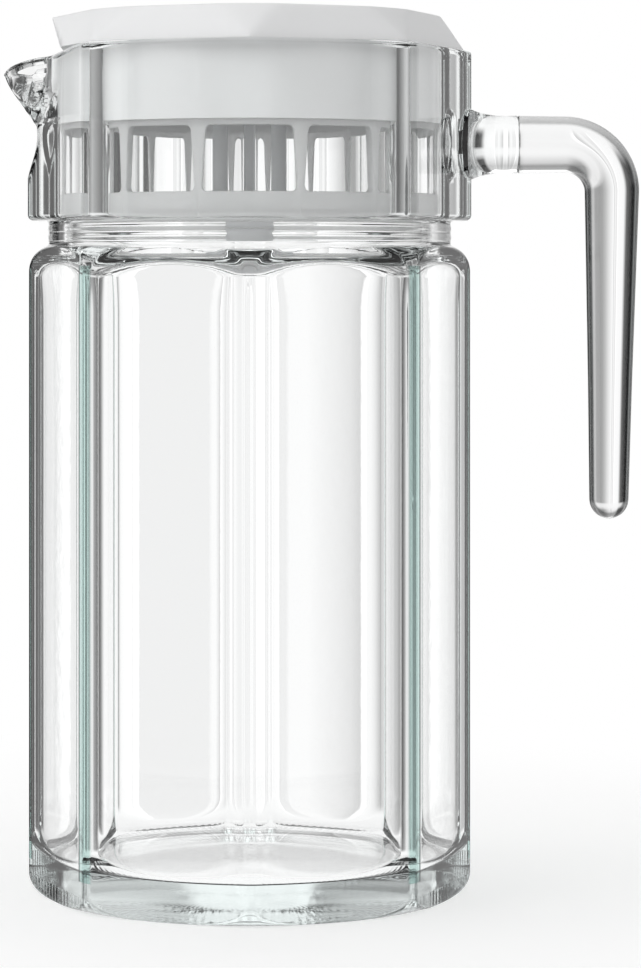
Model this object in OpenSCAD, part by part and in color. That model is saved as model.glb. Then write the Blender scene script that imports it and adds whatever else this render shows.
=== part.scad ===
// Glass pitcher with a flat-sided body, a solid glass handle and a two-part white lid.
// The origin is the centre of the round foot, +Z is up, +X points to the handle, -X to the spout.

/* [Body] */
// Width of the body across its rounded corners
corner_w = 112; // [100:0.5:124]
// How far a sharp corner would stand past the rounded one
corner_cut = 0.6; // [0.3:0.1:1.5]
// Wall thickness at the middle of a flat
wall_t = 4; // [3:0.1:5]
// How far the inner corners are rounded back
inner_cut = 1.2; // [0.4:0.1:2]
// Thickness of the glass floor
floor_t = 9; // [6:0.5:14]
// Radius between the floor and the inner walls
floor_fillet = 7; // [4:0.5:10]
// Radius of the heel that narrows the flats to the round foot
heel_r = 4.5; // [3:0.1:6]
// Height at which the shoulder begins to round in
shoulder_z = 156.5; // [130:0.5:180]
// Radius of the shoulder
shoulder_r = 7; // [5.5:0.1:8]

/* [Neck and collar] */
// Outer diameter of the round neck between body and collar
neck_w = 102; // [98:0.5:103]
// Bore of the neck and the collar, in which the lid sits
bore_w = 93; // [88:0.1:94]
// Height of the collar's lower edge above the shoulder's start
collar_lift = 13; // [10:0.5:18]
// Height of the collar
collar_h = 43; // [38:0.5:52]
// How far the collar's corners stand out past the body's corners
collar_proud = 0.3; // [0:0.1:1]
// Rounding of the collar's lower edge
collar_low_r = 2; // [1:0.1:3]
// Rounding of the rim
rim_r = 0.8; // [0.4:0.1:1.2]

/* [Spout] */
// How far the lip reaches from the axis
spout_reach = 62.4; // [60:0.1:66]
// How far the lip's point lies below the rim
lip_drop = 6.5; // [5:0.1:9]
// Width of the spout where it leaves the collar
spout_w = 28; // [22:0.5:32]
// Height of the spout, from its lowest point on the collar to the rim
spout_h = 24.5; // [20:0.5:28]
// Wall of the spout
spout_wall = 2.2; // [1.6:0.1:2.8]
// Depth of the pour channel below the rim, where it leaves the bore
channel_h = 14.5; // [11:0.5:17]
// Radius of the hollow under the spout
dent_r = 10.4; // [9:0.1:12]
// How deep that hollow goes into the corner
dent_d = 2.9; // [1:0.1:4]
// Height of the hollow's middle below the rim
dent_drop = 22.5; // [20:0.5:26]
// Distance from the axis at which the rim begins to slope down to the lip
slope_start = 40; // [36:0.5:46]

/* [Handle] */
// Thickness of the handle's arm
arm_w = 14.6; // [12:0.1:16]
// Thickness of the rod in the bend
bend_w = 13.8; // [11:0.1:15]
// Thickness at the tip of the grip
tip_w = 9.9; // [8:0.1:12]
// Height of the arm's middle below the rim
arm_drop = 23.6; // [20:0.1:26]
// Distance from the axis to the seam where the rod joins the stub
seam_x = 68; // [64:0.5:72]
// Distance from the axis to the middle of the grip at its top
grip_x = 92; // [86:0.5:98]
// How much nearer to the body the grip's tip hangs
grip_lean = 0.75; // [0:0.05:2]
// Radius of the bend along the rod's middle
bend_r = 12; // [10:0.5:14]
// Length of the grip below the bend
grip_l = 78; // [60:1:90]
// How far the stub's root is wider than the arm, each side
root_flare = 1.9; // [1:0.1:2.5]
// Length of the stub's flared root outside the collar
root_l = 4; // [2:0.5:6]

/* [Cap] */
// Width of the cap's lower edge across its corners
cap_w = 109.4; // [104:0.1:112]
// Height of the cap above the rim
cap_h = 8.6; // [7:0.1:12]
// How far each flat side leans in from bottom to top
cap_lean = 3.5; // [2:0.1:4]
// How far the turned cone cuts the corners in at the top
cone_in = 6.3; // [5:0.1:7]
// Thickness of the cap's top
cap_t = 1.9; // [1.5:0.1:3]
// Distance from the axis to the top edge of the cap's blunt end over the spout
beak_x = 50.2; // [49:0.1:51]
// How far that end leans back in towards its lower edge
beak_in = 3; // [1:0.1:4]
// Outer diameter of the boss that turns on the pin
boss_w = 11; // [9:0.5:14]
// Length of the boss below the cap's top
boss_l = 20; // [12:0.5:22]

/* [Plug sleeve] */
// Gap all round between the sleeve and the bore
sleeve_gap = 0.4; // [0.3:0.05:0.6]
// Gap all round between the sleeve and the cap's pocket
pocket_gap = 0.3; // [0.2:0.05:0.5]
// Wall of the sleeve
sleeve_t = 2; // [1.5:0.1:2.5]
// How far the sleeve reaches down below the rim
sleeve_l = 19; // [17.5:0.5:22]
// Width of the pour gate in the sleeve
gate_w = 18; // [12:0.5:22]
// Height of the pour gate
gate_h = 12; // [9:0.5:14]
// Distance from the rim down to the gate's upper edge
gate_drop = 1; // [0.5:0.1:2]

/* [Strainer] */
// Gap all round between the strainer and the sleeve
basket_gap = 0.3; // [0.3:0.05:0.5]
// Wall of the strainer
basket_t = 1.8; // [1.4:0.1:2.2]
// How far the strainer reaches up into the sleeve
basket_lap = 4.4; // [3:0.1:6]
// Distance from the rim down to the strainer's underside
basket_drop = 42.5; // [38:0.5:44]
// Thickness of the strainer's floor
basket_floor_t = 2; // [1.5:0.1:3]
// Number of windows round the strainer
window_n = 12; // [8:1:14]
// Height of a window
window_h = 16; // [12:0.5:17]
// Height of the ring below the windows
ring_h = 6; // [4.5:0.1:7]
// Width of a post between two windows at its top
post_top_w = 4.8; // [3:0.1:6]
// Width of a post at its foot
post_foot_w = 2.6; // [2:0.1:4]
// Cut across each corner of a window
window_cut = 1.2; // [0.5:0.1:2]

/* [Pivot pin] */
// Diameter of the pin
pin_w = 6; // [5:0.1:7]
// Radial running clearance between the pin and the cap's boss
pin_gap = 0.05; // [0.02:0.01:0.09]
// Space above the pin's end inside the boss
pin_end_gap = 1; // [0.5:0.1:2]
// Diameter of the head under the strainer, at its upper face
head_w = 12.8; // [11:0.1:14]
// How much narrower the head is at its lower face, all round
head_taper = 0.7; // [0.3:0.1:1.5]
// Height of the head
head_h = 7.4; // [5:0.1:9]
// Outer diameter of the socket round the pin on the strainer's floor
socket_w = 12; // [10:0.5:16]
// Height of that socket above the floor
socket_h = 5; // [3:0.5:8]

/* [Hidden] */
sides = 8;
half_side = 180 / sides;
fine = 160;
blend = 32;
// One overrun for every cut
over = 1;

// Body
corner_r = corner_w / 2;
sharp_r = corner_r + corner_cut;
flat_r = sharp_r * cos(half_side);
inner_sharp_r = (flat_r - wall_t) / cos(half_side);
inner_r = inner_sharp_r - inner_cut;
body_top_z = shoulder_z + shoulder_r;

// Neck and collar
neck_r = neck_w / 2;
bore_r = bore_w / 2;
collar_z = shoulder_z + collar_lift;
collar_r = corner_r + collar_proud;
collar_sharp_r = sharp_r + collar_proud;
rim_z = collar_z + collar_h;
cavity_top_z = body_top_z - wall_t;
inner_shoulder_r = inner_r - bore_r;

// Spout
spout_root_share = 0.11;
spout_low_share = 1.4;
channel_tip_share = 0.75;
channel_side_share = 0.3;
channel_depth_share = 0.42;
lip_r = spout_wall;
lip_x = spout_reach - lip_r;
lip_z = rim_z - lip_drop;
spout_root_x = collar_r - collar_r * spout_root_share;
spout_low_r = spout_wall * spout_low_share;
channel_tip_r = lip_r * channel_tip_share;
channel_root_r = spout_wall;
channel_w = spout_w - 2 * (spout_wall + spout_wall * channel_side_share);
channel_side_h = channel_h * channel_depth_share;
rim_slope = atan2(lip_drop - rim_r, spout_reach - slope_start);
dent_x = collar_r - dent_d + dent_r;
dent_z = rim_z - dent_drop;

// Handle
arm_r = arm_w / 2;
bend_rod_r = bend_w / 2;
tip_r = tip_w / 2;
arm_z = rim_z - arm_drop;
bend_x = grip_x - bend_r;
bend_z = arm_z - bend_r;
grip_turn = atan2(grip_lean, grip_l);

// Cap
cap_r = cap_w / 2;
cap_flat_r = cap_r * cos(half_side);
cap_top_z = rim_z + cap_h;
ceiling_z = cap_top_z - cap_t;
sleeve_r = bore_r - sleeve_gap;
pocket_r = sleeve_r + pocket_gap;
boss_z = ceiling_z - boss_l;

// Sleeve, strainer and pin
sleeve_z = rim_z - sleeve_l;
sleeve_in_r = sleeve_r - sleeve_t;
basket_r = sleeve_in_r - basket_gap;
basket_z = rim_z - basket_drop;
basket_top_z = sleeve_z + basket_lap;
window_z = basket_z + ring_h;
window_step = 360 / window_n;
window_half_w = basket_r * tan(window_step / 2);
pin_r = pin_w / 2;
pin_top_z = ceiling_z - pin_end_gap;

// A prism with flat sides and its corners on the X and Y axes
module prism(across_r, low_z, high_z) {
    translate([0, 0, low_z])
        cylinder(r = across_r, h = high_z - low_z, $fn = sides);
}

// A turned disc with its lower and upper outer edges rounded
module turned(disc_r, low_z, high_z, low_round, high_round) {
    rotate_extrude($fn = fine)
        intersection() {
            union() {
                translate([0, low_z + low_round])
                    square([disc_r, high_z - low_z - low_round - high_round]);
                translate([0, low_z])
                    square([disc_r - low_round, low_round]);
                translate([0, high_z - high_round])
                    square([disc_r - high_round, high_round]);
                translate([disc_r - low_round, low_z + low_round])
                    circle(r = low_round, $fn = fine);
                translate([disc_r - high_round, high_z - high_round])
                    circle(r = high_round, $fn = fine);
            }
            translate([0, low_z])
                square([disc_r, high_z - low_z]);
        }
}

// Flats cut by a turned shape, so that every flat ends in an arch
module body_outside() {
    intersection() {
        prism(sharp_r, 0, body_top_z);
        turned(corner_r, 0, body_top_z, heel_r, shoulder_r);
    }
}

module collar_outside() {
    intersection() {
        prism(collar_sharp_r, collar_z, rim_z);
        turned(collar_r, collar_z, rim_z, collar_low_r, rim_r);
    }
}

module neck_outside() {
    translate([0, 0, shoulder_z])
        cylinder(r = neck_r, h = collar_z + collar_low_r - shoulder_z, $fn = fine);
}

module cavity() {
    intersection() {
        prism(inner_sharp_r, floor_t, cavity_top_z);
        turned(inner_r, floor_t, cavity_top_z, floor_fillet, inner_shoulder_r);
    }
    translate([0, 0, cavity_top_z - over])
        cylinder(r = bore_r, h = rim_z - cavity_top_z + 2 * over, $fn = fine);
}

// The lip, drawn out of the collar's corner
module spout_outside() {
    hull() {
        translate([-lip_x, 0, lip_z])
            sphere(r = lip_r, $fn = blend);
        translate([-lip_x, 0, lip_z])
            cylinder(r = lip_r, h = rim_z - lip_z, $fn = blend);
        for (side = [-1, 1])
            translate([-spout_root_x, side * (spout_w / 2 - spout_wall), rim_z - channel_h])
                cylinder(r = spout_wall, h = channel_h, $fn = blend);
        translate([-spout_root_x, 0, rim_z - spout_h + spout_low_r])
            sphere(r = spout_low_r, $fn = blend);
    }
}

module pour_channel() {
    hull() {
        translate([-lip_x + spout_wall - channel_tip_r, 0, lip_z])
            cylinder(r = channel_tip_r, h = lip_drop + over, $fn = blend);
        for (side = [-1, 1])
            translate([-bore_r, side * (channel_w / 2 - channel_root_r), rim_z - channel_side_h])
                cylinder(r = channel_root_r, h = channel_side_h + over, $fn = blend);
        translate([-bore_r + channel_root_r, 0, rim_z - channel_h + channel_root_r])
            sphere(r = channel_root_r, $fn = blend);
    }
}

// A level cutter whose lower face slopes from the rim down to the lip
module lip_slope() {
    translate([-slope_start, -corner_r, rim_z])
        rotate([0, 180 + -rim_slope, 0])
            mirror([0, 0, 1])
                cube([corner_r, corner_w, corner_r]);
}

module dent() {
    translate([-dent_x, corner_r, dent_z])
        rotate([90, 0, 0])
            cylinder(r = dent_r, h = corner_w, $fn = fine);
}

// The stub of the handle, pressed in one with the collar and flared at its root
module handle_stub() {
    translate([0, 0, arm_z])
        rotate([0, 90, 0]) {
            cylinder(r = arm_r, h = seam_x, $fn = fine);
            translate([0, 0, bore_r])
                cylinder(r1 = arm_r + root_flare + (collar_r - bore_r) * root_flare / root_l,
                         r2 = arm_r, h = collar_r - bore_r + root_l, $fn = fine);
        }
}

module glass_jug() {
    color("azure", 0.35)
        difference() {
            union() {
                body_outside();
                neck_outside();
                collar_outside();
                spout_outside();
                handle_stub();
            }
            cavity();
            pour_channel();
            lip_slope();
            dent();
        }
}

// The solid rod, fused to the stub at the seam and free at its lower end
module handle() {
    color("mintcream", 0.45)
        union() {
            translate([seam_x, 0, arm_z])
                rotate([0, 90, 0])
                    cylinder(r1 = arm_r, r2 = bend_rod_r, h = bend_x - seam_x, $fn = fine);
            translate([bend_x, 0, bend_z])
                rotate([90, 0, 0])
                    rotate_extrude(angle = 90, $fn = fine)
                        translate([bend_r, 0])
                            circle(r = bend_rod_r, $fn = fine);
            translate([grip_x, 0, bend_z])
                sphere(r = bend_rod_r, $fn = fine);
            translate([grip_x, 0, bend_z])
                rotate([0, grip_turn, 0])
                    mirror([0, 0, 1]) {
                        cylinder(r1 = bend_rod_r, r2 = tip_r, h = grip_l, $fn = fine);
                        translate([0, 0, grip_l])
                            sphere(r = tip_r, $fn = fine);
                    }
        }
}

// One pair of opposite leaning sides of the cap
module leaning_slab() {
    rotate([90, 0, 0])
        linear_extrude(height = 2 * cap_w, center = true)
            polygon([
                [-cap_flat_r, rim_z],
                [cap_flat_r, rim_z],
                [cap_flat_r - cap_lean, cap_top_z],
                [-cap_flat_r + cap_lean, cap_top_z]
            ]);
}

// The turned cone that cuts the corners, left off at the spout
module corner_cone() {
    translate([0, 0, rim_z])
        cylinder(r1 = cap_r, r2 = cap_r - cone_in, h = cap_h, $fn = fine);
    translate([-cap_w, -cap_r * sin(half_side), rim_z])
        cube([cap_w, cap_w * sin(half_side), cap_h]);
}

// The blunt end over the spout, leaning back in towards its lower edge
module beak_cut() {
    rotate([90, 0, 0])
        linear_extrude(height = cap_w, center = true)
            polygon([
                [-beak_x, cap_top_z],
                [-beak_x + beak_in, rim_z],
                [-beak_x + beak_in, rim_z - over],
                [-cap_w, rim_z - over],
                [-cap_w, cap_top_z + over],
                [-beak_x, cap_top_z + over]
            ]);
}

module lid_cap() {
    color("white")
        difference() {
            union() {
                difference() {
                    intersection() {
                        intersection_for(turn = [0 : sides / 2 - 1])
                            rotate(half_side + turn * 2 * half_side)
                                leaning_slab();
                        corner_cone();
                    }
                    beak_cut();
                    translate([0, 0, rim_z - over])
                        cylinder(r = pocket_r, h = ceiling_z - rim_z + over, $fn = fine);
                }
                translate([0, 0, boss_z])
                    cylinder(d = boss_w, h = boss_l, $fn = fine);
            }
            translate([0, 0, boss_z - over])
                cylinder(r = pin_r + pin_gap, h = boss_l + over, $fn = fine);
        }
}

// The round sleeve that closes the mouth, with its gate on the spout side
module plug_sleeve() {
    color("whitesmoke")
        difference() {
            translate([0, 0, sleeve_z])
                cylinder(r = sleeve_r, h = ceiling_z - sleeve_z, $fn = fine);
            translate([0, 0, sleeve_z - over])
                cylinder(r = sleeve_in_r, h = ceiling_z - sleeve_z + 2 * over, $fn = fine);
            translate([-sleeve_r - over, -gate_w / 2, rim_z - gate_drop - gate_h])
                cube([sleeve_r, gate_w, gate_h]);
        }
}

// One window, with its sides leaning so that the posts taper downwards
module window() {
    top_w = window_half_w - post_top_w / 2;
    foot_w = window_half_w - post_foot_w / 2;
    rotate([90, 0, 90])
        linear_extrude(height = basket_r + over)
            polygon([
                [-foot_w + window_cut, window_z],
                [foot_w - window_cut, window_z],
                [foot_w, window_z + window_cut],
                [top_w, window_z + window_h - window_cut],
                [top_w - window_cut, window_z + window_h],
                [-top_w + window_cut, window_z + window_h],
                [-top_w, window_z + window_h - window_cut],
                [-foot_w, window_z + window_cut]
            ]);
}

module strainer() {
    color("gainsboro")
        difference() {
            union() {
                difference() {
                    translate([0, 0, basket_z])
                        cylinder(r = basket_r, h = basket_top_z - basket_z, $fn = fine);
                    translate([0, 0, basket_z + basket_floor_t])
                        cylinder(r = basket_r - basket_t, h = basket_top_z - basket_z, $fn = fine);
                    for (turn = [0 : window_n - 1])
                        rotate(turn * window_step)
                            window();
                }
                translate([0, 0, basket_z])
                    cylinder(d = socket_w, h = basket_floor_t + socket_h, $fn = fine);
            }
            translate([0, 0, basket_z - over])
                cylinder(r = pin_r, h = basket_floor_t + socket_h + 2 * over, $fn = fine);
        }
}

// The pin that the cap turns on, with the tapered head that shows under the strainer
module pivot_pin() {
    color("silver")
        union() {
            translate([0, 0, basket_z])
                cylinder(r = pin_r, h = pin_top_z - basket_z, $fn = fine);
            translate([0, 0, basket_z - head_h])
                cylinder(r1 = head_w / 2 - head_taper, r2 = head_w / 2, h = head_h, $fn = fine);
        }
}

glass_jug();
handle();
lid_cap();
plug_sleeve();
strainer();
pivot_pin();
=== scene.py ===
import math

import bmesh
import bpy
import numpy as np
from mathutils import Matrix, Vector


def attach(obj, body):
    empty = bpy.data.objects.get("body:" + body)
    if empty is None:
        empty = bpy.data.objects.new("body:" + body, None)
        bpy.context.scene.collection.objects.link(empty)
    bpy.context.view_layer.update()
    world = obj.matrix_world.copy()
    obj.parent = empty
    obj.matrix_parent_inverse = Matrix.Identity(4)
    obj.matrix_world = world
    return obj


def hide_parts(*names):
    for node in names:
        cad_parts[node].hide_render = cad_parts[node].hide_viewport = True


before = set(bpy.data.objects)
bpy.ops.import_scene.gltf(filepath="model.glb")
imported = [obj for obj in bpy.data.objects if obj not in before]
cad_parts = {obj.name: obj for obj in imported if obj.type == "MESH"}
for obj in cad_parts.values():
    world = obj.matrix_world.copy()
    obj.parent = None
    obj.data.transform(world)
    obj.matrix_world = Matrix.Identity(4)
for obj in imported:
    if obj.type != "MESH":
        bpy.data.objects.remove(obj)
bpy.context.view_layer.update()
print("frame loaded")

mm = 0.001


# helpers for meshes

def smoothStep(low, high, value):
    t = np.clip((np.asarray(value, dtype=float) - low) / (high - low), 0, 1)
    return t * t * (3 - 2 * t)


def softMin(a, b, soft):
    low = np.minimum(a, b)
    return low - soft * np.log(np.exp(-(a - low) / soft) + np.exp(-(b - low) / soft))


def softMax(a, b, soft):
    return -softMin(-np.asarray(a, dtype=float), -np.asarray(b, dtype=float), soft)


def newObject(name, vertices, faces, smooth=True):
    mesh = bpy.data.meshes.new(name)
    mesh.from_pydata([tuple(v) for v in vertices], [], [tuple(f) for f in faces])
    mesh.update()
    mesh.polygons.foreach_set("use_smooth", [smooth] * len(mesh.polygons))
    piece = bpy.data.objects.new(name, mesh)
    bpy.context.scene.collection.objects.link(piece)
    return piece


def shadeSmooth(piece):
    piece.data.polygons.foreach_set("use_smooth", [True] * len(piece.data.polygons))


def ringFaces(rings, count, closed=False):
    faces = []
    for ring in range(rings - (0 if closed else 1)):
        low, high = ring * count, (ring + 1) % rings * count
        faces += [(low + j, low + (j + 1) % count, high + (j + 1) % count, high + j) for j in range(count)]
    return faces


# a pole closes the first ring and another the last
def poleFaces(rings, count):
    top, first, last = (rings - 1) * count, rings * count, rings * count + 1
    faces = []
    for j in range(count):
        k = (j + 1) % count
        faces += [(first, k, j), (top + j, top + k, last)]
    return faces


# each row of radius and height is a ring of points round the axis, and a closed set needs no poles
def turnedPiece(name, theta, rows, closed=False):
    count = len(theta)
    cosines, sines = np.cos(theta), np.sin(theta)
    points = []
    for radius, height in rows:
        radius = np.broadcast_to(radius, count)
        height = np.broadcast_to(height, count)
        points.append(np.stack([radius * cosines, radius * sines, height], 1))
    points = np.concatenate(points) * mm
    faces = ringFaces(len(rows), count, closed)
    if not closed:
        poles = [[0, 0, float(np.mean(np.broadcast_to(rows[end][1], count))) * mm] for end in (0, -1)]
        points = np.concatenate([points, poles])
        faces += poleFaces(len(rows), count)
    return newObject(name, points, faces)


def applyModifiers(piece):
    graph = bpy.context.evaluated_depsgraph_get()
    mesh = bpy.data.meshes.new_from_object(piece.evaluated_get(graph))
    name = piece.name
    if piece.type == "MESH":
        old = piece.data
        piece.modifiers.clear()
        piece.data = mesh
        mesh.name = name
        bpy.data.meshes.remove(old)
        return piece
    bpy.data.objects.remove(piece)
    plain = bpy.data.objects.new(name, mesh)
    bpy.context.scene.collection.objects.link(plain)
    return plain


def sharpenEdges(piece, degrees):
    mesh = piece.data
    work = bmesh.new()
    work.from_mesh(mesh)
    for edge in work.edges:
        if len(edge.link_faces) == 2 and edge.calc_face_angle(0) > math.radians(degrees):
            edge.smooth = False
    work.to_mesh(mesh)
    work.free()


# helpers for node trees

def link(tree, a, b):
    tree.links.new(a, b)


def place(tree, kind, x=0, y=0, **values):
    node = tree.nodes.new(kind)
    node.location = (x, y)
    for name, value in values.items():
        setattr(node, name, value)
    return node


def mathNode(tree, operation, a, b=None, clamp=False):
    node = place(tree, "ShaderNodeMath", operation=operation, use_clamp=clamp)
    for socket, value in zip(node.inputs, (a, b)):
        if value is None:
            continue
        if isinstance(value, (int, float)):
            socket.default_value = value
        else:
            link(tree, value, socket)
    return node.outputs[0]


def rangeNode(tree, value, source=(0, 1), target=(0, 1), smooth=False):
    node = place(tree, "ShaderNodeMapRange", interpolation_type="SMOOTHSTEP" if smooth else "LINEAR")
    for name, number in zip(("From Min", "From Max", "To Min", "To Max"), (*source, *target)):
        node.inputs[name].default_value = number
    link(tree, value, node.inputs["Value"])
    return node.outputs[0]


def partsOf(tree, vector):
    node = place(tree, "ShaderNodeSeparateXYZ", -1000)
    link(tree, vector, node.inputs[0])
    return node.outputs


def bumpNode(tree, height, look):
    bump = place(tree, "ShaderNodeBump", -300, -200)
    bump.inputs["Strength"].default_value = look["bump"]
    bump.inputs["Distance"].default_value = look["bumpDepth"]
    link(tree, height, bump.inputs["Height"])
    return bump.outputs[0]


def mixShaders(tree, share, first, second):
    mix = place(tree, "ShaderNodeMixShader", 500)
    for socket, value in zip(mix.inputs, (share, first, second)):
        link(tree, value, socket)
    return mix.outputs[0]


# rays that have met glass or a gloss before they arrive
def shinyShare(tree, ray):
    return mathNode(tree, "MAXIMUM", ray.outputs["Is Glossy Ray"], ray.outputs["Is Transmission Ray"])


def emptyMaterial(name):
    material = bpy.data.materials.new(name)
    material.use_nodes = True
    material.node_tree.nodes.clear()
    return material, material.node_tree


# one group for the soft unevenness of pressed glass and of moulded plastic
def buildSurfaceGroup():
    group = bpy.data.node_groups.new("surfaceUnevenness", "ShaderNodeTree")
    face = group.interface
    for name, kind, value in (("Vector", "NodeSocketVector", None), ("Wave Scale", "NodeSocketFloat", 20.0),
                              ("Grain Scale", "NodeSocketFloat", 900.0), ("Wave Share", "NodeSocketFloat", 0.8)):
        socket = face.new_socket(name, in_out="INPUT", socket_type=kind)
        if value is not None:
            socket.default_value = value
    face.new_socket("Height", in_out="OUTPUT", socket_type="NodeSocketFloat")
    face.new_socket("Mask", in_out="OUTPUT", socket_type="NodeSocketFloat")
    start = place(group, "NodeGroupInput", -900)
    end = place(group, "NodeGroupOutput", 500)
    wave = place(group, "ShaderNodeTexNoise", -600, 200)
    wave.inputs["Detail"].default_value = 1.0
    link(group, start.outputs["Vector"], wave.inputs["Vector"])
    link(group, start.outputs["Wave Scale"], wave.inputs["Scale"])
    grain = place(group, "ShaderNodeTexNoise", -600, -200)
    grain.inputs["Detail"].default_value = 3.0
    link(group, start.outputs["Vector"], grain.inputs["Vector"])
    link(group, start.outputs["Grain Scale"], grain.inputs["Scale"])
    waves = mathNode(group, "MULTIPLY", wave.outputs["Fac"], start.outputs["Wave Share"])
    rest = mathNode(group, "SUBTRACT", 1.0, start.outputs["Wave Share"])
    grains = mathNode(group, "MULTIPLY", grain.outputs["Fac"], rest)
    link(group, mathNode(group, "ADD", waves, grains), end.inputs["Height"])
    link(group, grain.outputs["Fac"], end.inputs["Mask"])
    return group


surfaceGroup = buildSurfaceGroup()


def surfaceNode(tree, look):
    where = place(tree, "ShaderNodeTexCoord", -1200)
    node = place(tree, "ShaderNodeGroup", -900, node_tree=surfaceGroup)
    link(tree, where.outputs["Object"], node.inputs["Vector"])
    node.inputs["Wave Scale"].default_value = look["waveScale"]
    node.inputs["Grain Scale"].default_value = look["grainScale"]
    node.inputs["Wave Share"].default_value = look["waveShare"]
    return node


glassLook = {"ior": 1.5, "waveScale": 26.0, "grainScale": 260.0, "waveShare": 0.9, "haze": 0.012, "bump": 0.05,
             "bumpDepth": 0.0006, "shadow": (0.975, 0.985, 0.98, 1), "footHigh": 0.0022, "footRough": 0.09,
             "ridges": 150, "ridgeHigh": 0.0042, "ridgeDepth": 2.5}
# each glass gets painted shade where it is seen at a flat angle, standing in for the dark surroundings seen in its
# edges; on the jug only along its corners
paintedEdgeLooks = {
    # the jug's teal corner colour is partly the glass's own green and partly painted shade
    "clearGlass": {"color": (0.34, 0.58, 0.53, 1), "shadeSlant": (0.12, 0.3), "level": 1.0, "depth": (0.3, 0.8, 0.74, 1),
                   "density": 1.3, "cornerR": 0.0551, "paintedLineR": 0.05535, "paintedLineColor": (0.004, 0.012, 0.011, 1),
                   "lowZ": 0.008, "highZ": 0.158},
    # the handle's edges are painted near black at flat angles, as painted shade
    "rodGlass": {"color": (0.02, 0.022, 0.022, 1), "shadeSlant": (0.23, 0.37), "level": 0.55,
                 "depth": (0.5, 0.52, 0.52, 1), "density": 9.0, "cornerR": None},
}


def paintedEdgeShade(tree, look, where):
    # painted shade: the base colour darkens where the surface is seen at a flat angle, less where it lies flat
    weight = place(tree, "ShaderNodeLayerWeight", -900, 500)
    weight.inputs["Blend"].default_value = 0.5
    edge = rangeNode(tree, weight.outputs["Facing"], look["shadeSlant"], smooth=True)
    lean = partsOf(tree, where.outputs["Normal"])[2]
    lying = mathNode(tree, "MULTIPLY", lean, lean)
    upright = mathNode(tree, "SUBTRACT", 1.0, mathNode(tree, "MULTIPLY", lying, look["level"]), True)
    share = mathNode(tree, "MULTIPLY", edge, upright)
    edgeShade = place(tree, "ShaderNodeMix", -250, 400, data_type="RGBA")
    edgeShade.inputs[6].default_value = (1, 1, 1, 1)
    edgeShade.inputs[7].default_value = look["color"]
    if look["cornerR"]:
        # the corners show teal, partly the glass's own green and partly painted shade, with a painted dark line next
        # to them
        flat = place(tree, "ShaderNodeVectorMath", -1000, 1100, operation="MULTIPLY")
        flat.inputs[1].default_value = (1, 1, 0)
        link(tree, where.outputs["Object"], flat.inputs[0])
        out = place(tree, "ShaderNodeVectorMath", -800, 1100, operation="LENGTH")
        link(tree, flat.outputs[0], out.inputs[0])
        reach = out.outputs["Value"]
        corner = mathNode(tree, "GREATER_THAN", reach, look["cornerR"])
        paintedLineMask = mathNode(tree, "MULTIPLY", corner, mathNode(tree, "LESS_THAN", reach, look["paintedLineR"]))
        line = place(tree, "ShaderNodeMix", -400, 600, data_type="RGBA")
        line.inputs[6].default_value = look["color"]
        line.inputs[7].default_value = look["paintedLineColor"]
        link(tree, paintedLineMask, line.inputs["Factor"])
        link(tree, line.outputs[2], edgeShade.inputs[7])
        height = partsOf(tree, where.outputs["Object"])[2]
        share = mathNode(tree, "MULTIPLY", share, mathNode(tree, "GREATER_THAN", height, look["lowZ"]))
        share = mathNode(tree, "MULTIPLY", share, mathNode(tree, "LESS_THAN", height, look["highZ"]))
        share = mathNode(tree, "MULTIPLY", share, corner)
    link(tree, share, edgeShade.inputs["Factor"])
    return edgeShade.outputs[2]


def glassMaterial(name):
    look = paintedEdgeLooks[name]
    material, tree = emptyMaterial(name)
    glass = place(tree, "ShaderNodeBsdfPrincipled")
    where = place(tree, "ShaderNodeTexCoord", -1200, 700)
    link(tree, paintedEdgeShade(tree, look, where), glass.inputs["Base Color"])
    glass.inputs["Transmission Weight"].default_value = 1.0
    glass.inputs["IOR"].default_value = glassLook["ior"]
    uneven = surfaceNode(tree, glassLook)
    haze = rangeNode(tree, uneven.outputs["Mask"], target=(0.0, glassLook["haze"]))
    spot = partsOf(tree, where.outputs["Object"])
    foot = mathNode(tree, "LESS_THAN", spot[2], glassLook["footHigh"])
    dull = mathNode(tree, "MULTIPLY", foot, glassLook["footRough"])
    link(tree, mathNode(tree, "MAXIMUM", haze, dull), glass.inputs["Roughness"])
    # fine ridges round the foot
    turn = mathNode(tree, "ARCTAN2", spot[1], spot[0])
    ridges = mathNode(tree, "SINE", mathNode(tree, "MULTIPLY", turn, glassLook["ridges"]))
    low = mathNode(tree, "LESS_THAN", spot[2], glassLook["ridgeHigh"])
    ridges = mathNode(tree, "MULTIPLY", mathNode(tree, "MULTIPLY", ridges, low), glassLook["ridgeDepth"])
    height = mathNode(tree, "ADD", uneven.outputs["Height"], ridges)
    link(tree, bumpNode(tree, height, glassLook), glass.inputs["Normal"])
    # light passes straight through where it casts the shadow
    clear = place(tree, "ShaderNodeBsdfTransparent", 0, 150)
    clear.inputs["Color"].default_value = glassLook["shadow"]
    ray = place(tree, "ShaderNodeLightPath", 0, 400)
    out = place(tree, "ShaderNodeOutputMaterial", 800)
    link(tree, mixShaders(tree, ray.outputs["Is Shadow Ray"], glass.outputs[0], clear.outputs[0]),
         out.inputs["Surface"])
    depth = place(tree, "ShaderNodeVolumeAbsorption", 200, -300)
    depth.inputs["Color"].default_value = look["depth"]
    depth.inputs["Density"].default_value = look["density"]
    link(tree, depth.outputs[0], out.inputs["Volume"])
    return material


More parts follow.
